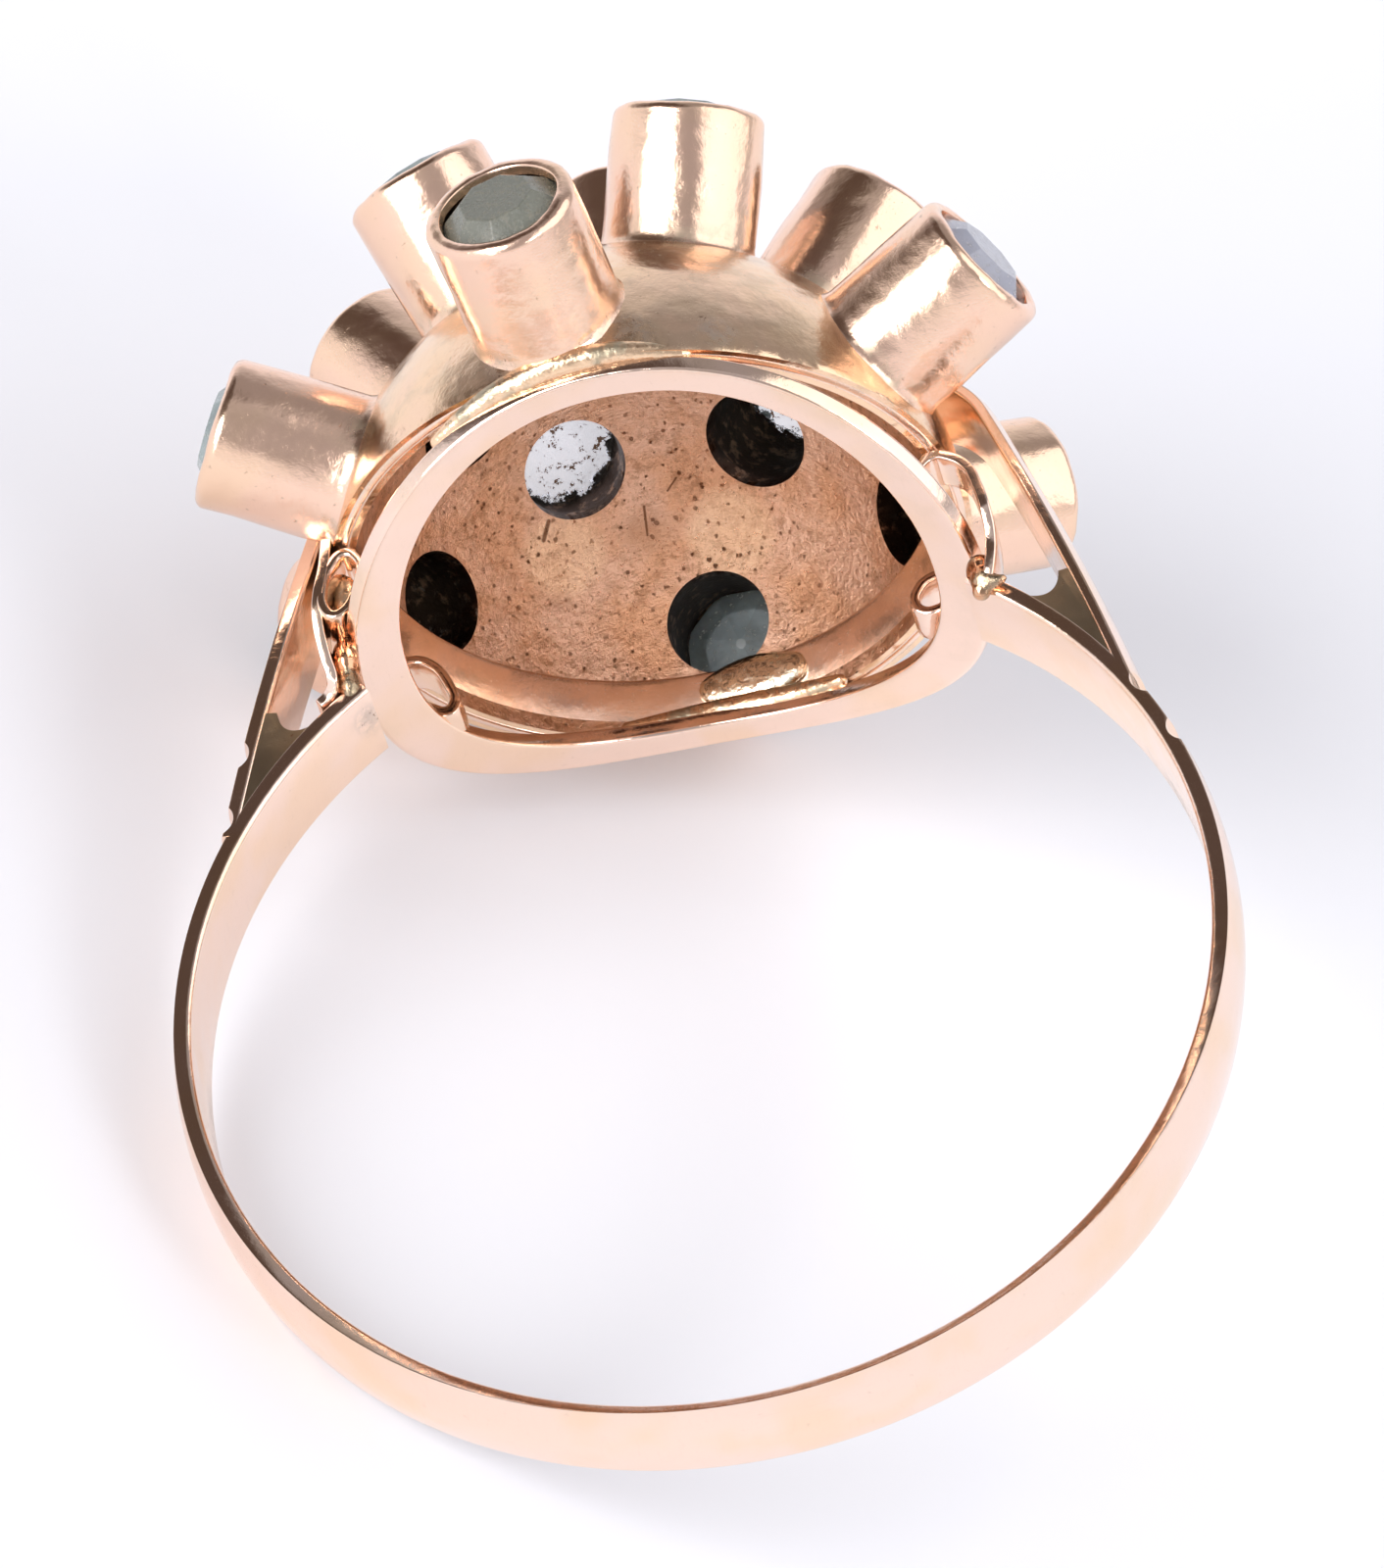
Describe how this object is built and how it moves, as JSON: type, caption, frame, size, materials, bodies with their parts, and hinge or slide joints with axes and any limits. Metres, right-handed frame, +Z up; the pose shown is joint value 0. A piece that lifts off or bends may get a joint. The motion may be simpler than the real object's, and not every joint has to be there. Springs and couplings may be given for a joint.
{
  "type": "gemstone cluster ring",
  "caption": "Finger ring with a forked band, a hollow dome head on a saddle gallery, and radiating tube collets that each hold a small faceted stone.",
  "frame": {"origin": "on the resting plane, under the middle of the box round the ring as it lies", "axes": "+Z up from the surface the ring lies on, +Y towards the dome head, +X to the right as seen from the open side of the ring"},
  "size_m": [0.017, 0.0264, 0.0137],
  "materials": {
    "gold": "polished rose gold, worn, with duller solder",
    "stone": "faceted grey green stone, abraded"
  },
  "bodies": {
    "root": {"mount": "gold", "stone_01": "stone", "stone_02": "stone", "stone_03": "stone", "stone_04": "stone", "stone_05": "stone", "stone_06": "stone", "stone_07": "stone", "stone_08": "stone", "stone_09": "stone", "stone_10": "stone", "stone_11": "stone", "stone_12": "stone", "stone_13": "stone"}
  },
  "joints": []
}
